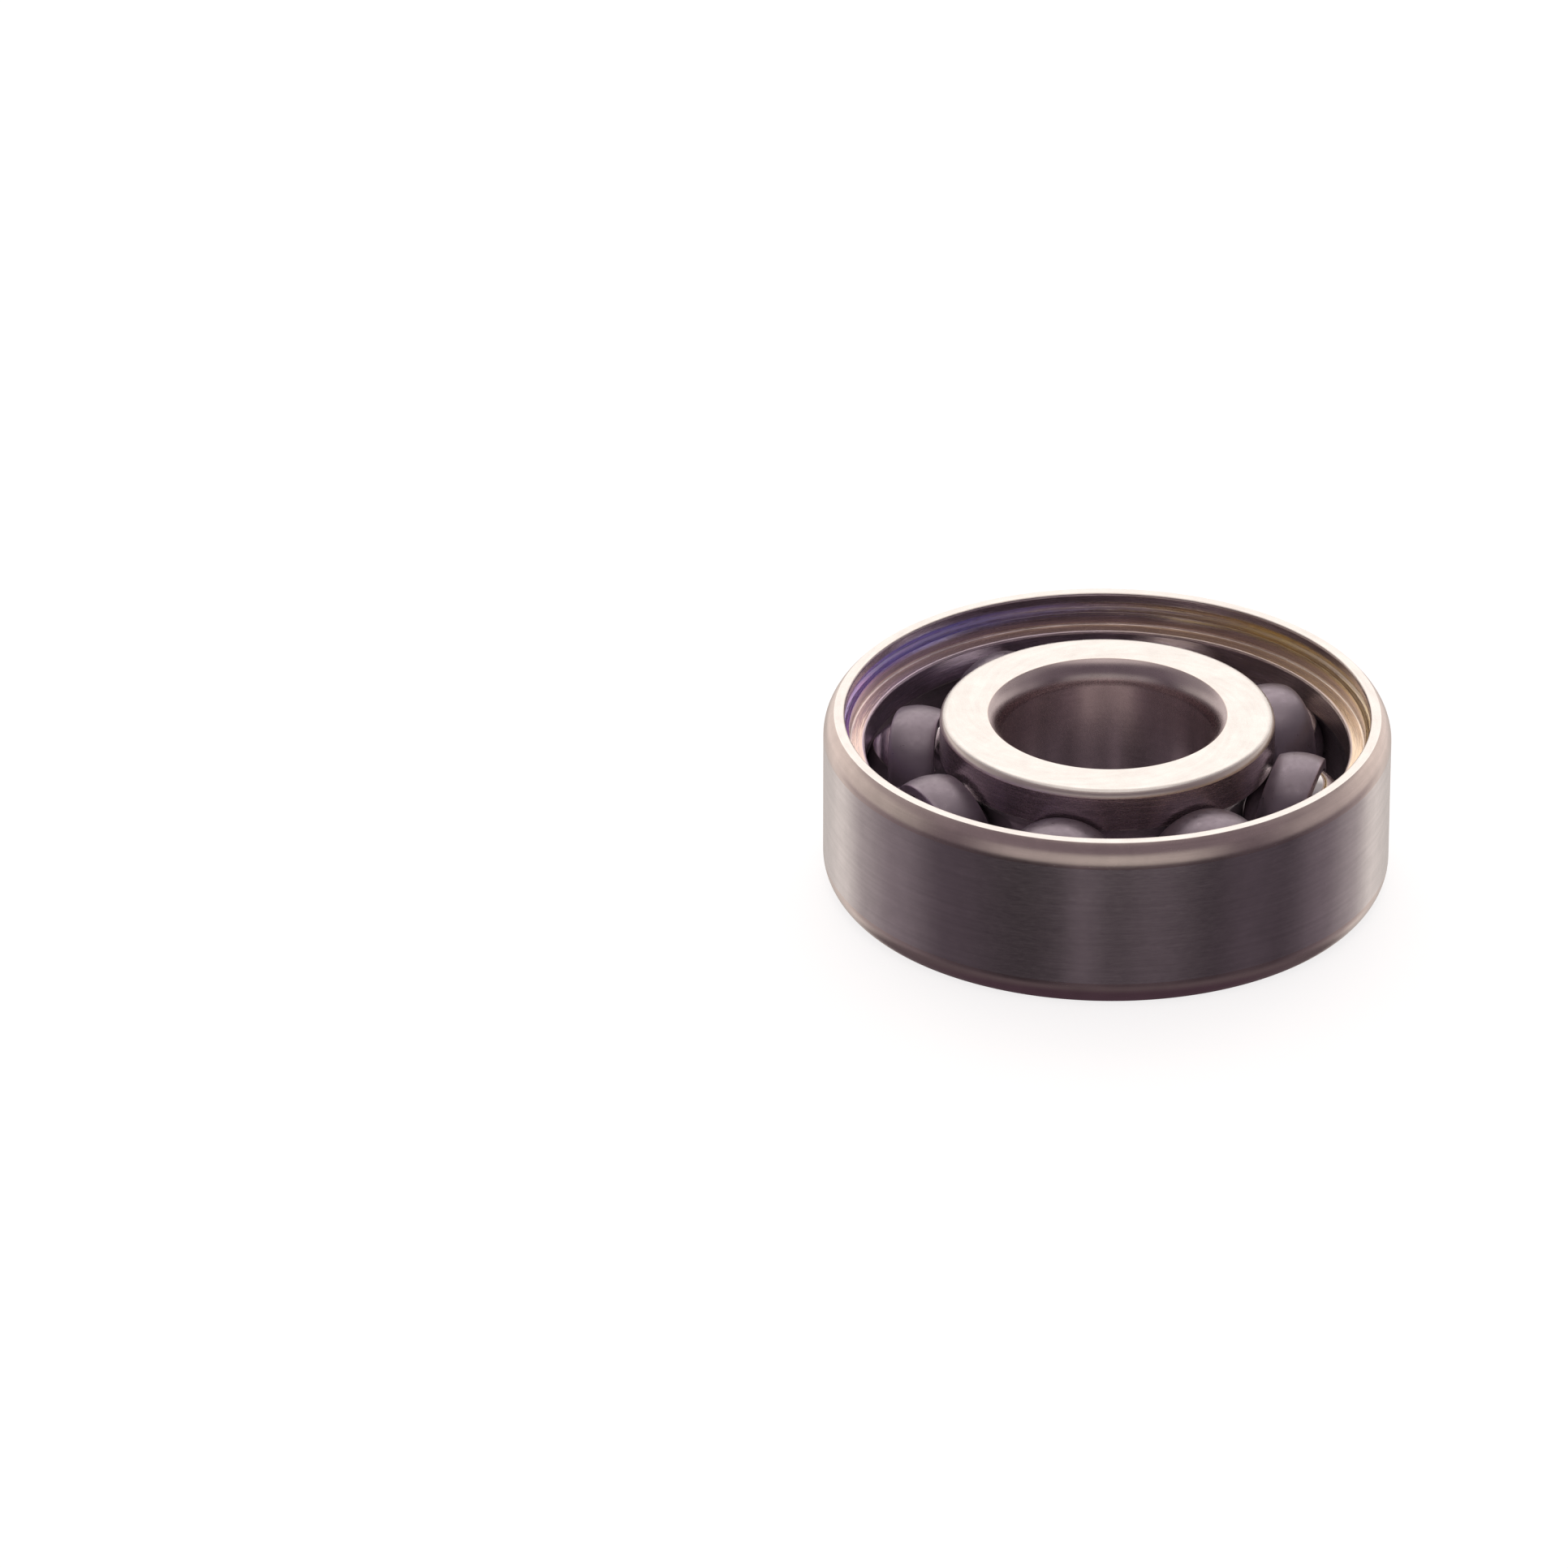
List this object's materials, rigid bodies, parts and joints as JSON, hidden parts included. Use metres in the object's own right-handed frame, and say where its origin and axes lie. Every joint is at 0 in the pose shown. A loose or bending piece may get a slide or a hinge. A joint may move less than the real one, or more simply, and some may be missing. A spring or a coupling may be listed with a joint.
{
  "type": "angular contact bearing",
  "caption": "Single-row angular contact ball bearing with ground steel rings, a relieved shoulder inside a thin rim, and a riveted pressed-steel ball cage.",
  "frame": {"origin": "on the bearing axis, in the plane of the lower faces, where the outer ring has its full shoulder", "axes": "+Z along the bearing axis towards the wide inner-ring face and the relieved outer shoulder; the first ball lies 30 degrees from +X towards +Y"},
  "size_m": [0.032, 0.032, 0.01],
  "materials": {
    "ring_steel": "ground bearing steel",
    "cage_steel": "pressed and tumbled sheet steel",
    "ball_steel": "polished bearing steel",
    "rivet_steel": "tumbled steel"
  },
  "bodies": {
    "outer_ring": {"outer_ring": "ring_steel"},
    "inner_ring": {"inner_ring": "ring_steel"},
    "cage": {"cage_upper_half": "cage_steel", "cage_lower_half": "cage_steel", "rivet_1": "rivet_steel", "rivet_2": "rivet_steel", "rivet_3": "rivet_steel", "rivet_4": "rivet_steel", "rivet_5": "rivet_steel", "rivet_6": "rivet_steel", "rivet_7": "rivet_steel", "rivet_8": "rivet_steel"},
    "ball_1": {"ball_1": "ball_steel"},
    "ball_2": {"ball_2": "ball_steel"},
    "ball_3": {"ball_3": "ball_steel"},
    "ball_4": {"ball_4": "ball_steel"},
    "ball_5": {"ball_5": "ball_steel"},
    "ball_6": {"ball_6": "ball_steel"},
    "ball_7": {"ball_7": "ball_steel"},
    "ball_8": {"ball_8": "ball_steel"}
  },
  "joints": [
    {"name": "inner_ring_spin", "type": "hinge", "parent": "outer_ring", "child": "inner_ring", "pos_m": [0, 0, 0.005], "axis": [0, 0, 1], "continuous": true},
    {"name": "cage_orbit", "type": "hinge", "parent": "outer_ring", "child": "cage", "pos_m": [0, 0, 0.005], "axis": [0, 0, 1], "continuous": true},
    {"name": "ball_1_spin", "type": "hinge", "parent": "cage", "child": "ball_1", "pos_m": [0.00953, 0.0055, 0.005], "axis": [0.433, 0.25, 0.866], "continuous": true},
    {"name": "ball_2_spin", "type": "hinge", "parent": "cage", "child": "ball_2", "pos_m": [0.00285, 0.01063, 0.005], "axis": [0.1294, 0.483, 0.866], "continuous": true},
    {"name": "ball_3_spin", "type": "hinge", "parent": "cage", "child": "ball_3", "pos_m": [-0.0055, 0.00953, 0.005], "axis": [-0.25, 0.433, 0.866], "continuous": true},
    {"name": "ball_4_spin", "type": "hinge", "parent": "cage", "child": "ball_4", "pos_m": [-0.01063, 0.00285, 0.005], "axis": [-0.483, 0.1294, 0.866], "continuous": true},
    {"name": "ball_5_spin", "type": "hinge", "parent": "cage", "child": "ball_5", "pos_m": [-0.00953, -0.0055, 0.005], "axis": [-0.433, -0.25, 0.866], "continuous": true},
    {"name": "ball_6_spin", "type": "hinge", "parent": "cage", "child": "ball_6", "pos_m": [-0.00285, -0.01063, 0.005], "axis": [-0.1294, -0.483, 0.866], "continuous": true},
    {"name": "ball_7_spin", "type": "hinge", "parent": "cage", "child": "ball_7", "pos_m": [0.0055, -0.00953, 0.005], "axis": [0.25, -0.433, 0.866], "continuous": true},
    {"name": "ball_8_spin", "type": "hinge", "parent": "cage", "child": "ball_8", "pos_m": [0.01063, -0.00285, 0.005], "axis": [0.483, -0.1294, 0.866], "continuous": true}
  ],
  "couplings": [
    {"joint": "cage_orbit", "follows": "inner_ring_spin", "ratio": 0.38283},
    {"joint": "ball_1_spin", "follows": "inner_ring_spin", "ratio": -1.7463},
    {"joint": "ball_2_spin", "follows": "inner_ring_spin", "ratio": -1.7463},
    {"joint": "ball_3_spin", "follows": "inner_ring_spin", "ratio": -1.7463},
    {"joint": "ball_4_spin", "follows": "inner_ring_spin", "ratio": -1.7463},
    {"joint": "ball_5_spin", "follows": "inner_ring_spin", "ratio": -1.7463},
    {"joint": "ball_6_spin", "follows": "inner_ring_spin", "ratio": -1.7463},
    {"joint": "ball_7_spin", "follows": "inner_ring_spin", "ratio": -1.7463},
    {"joint": "ball_8_spin", "follows": "inner_ring_spin", "ratio": -1.7463}
  ]
}
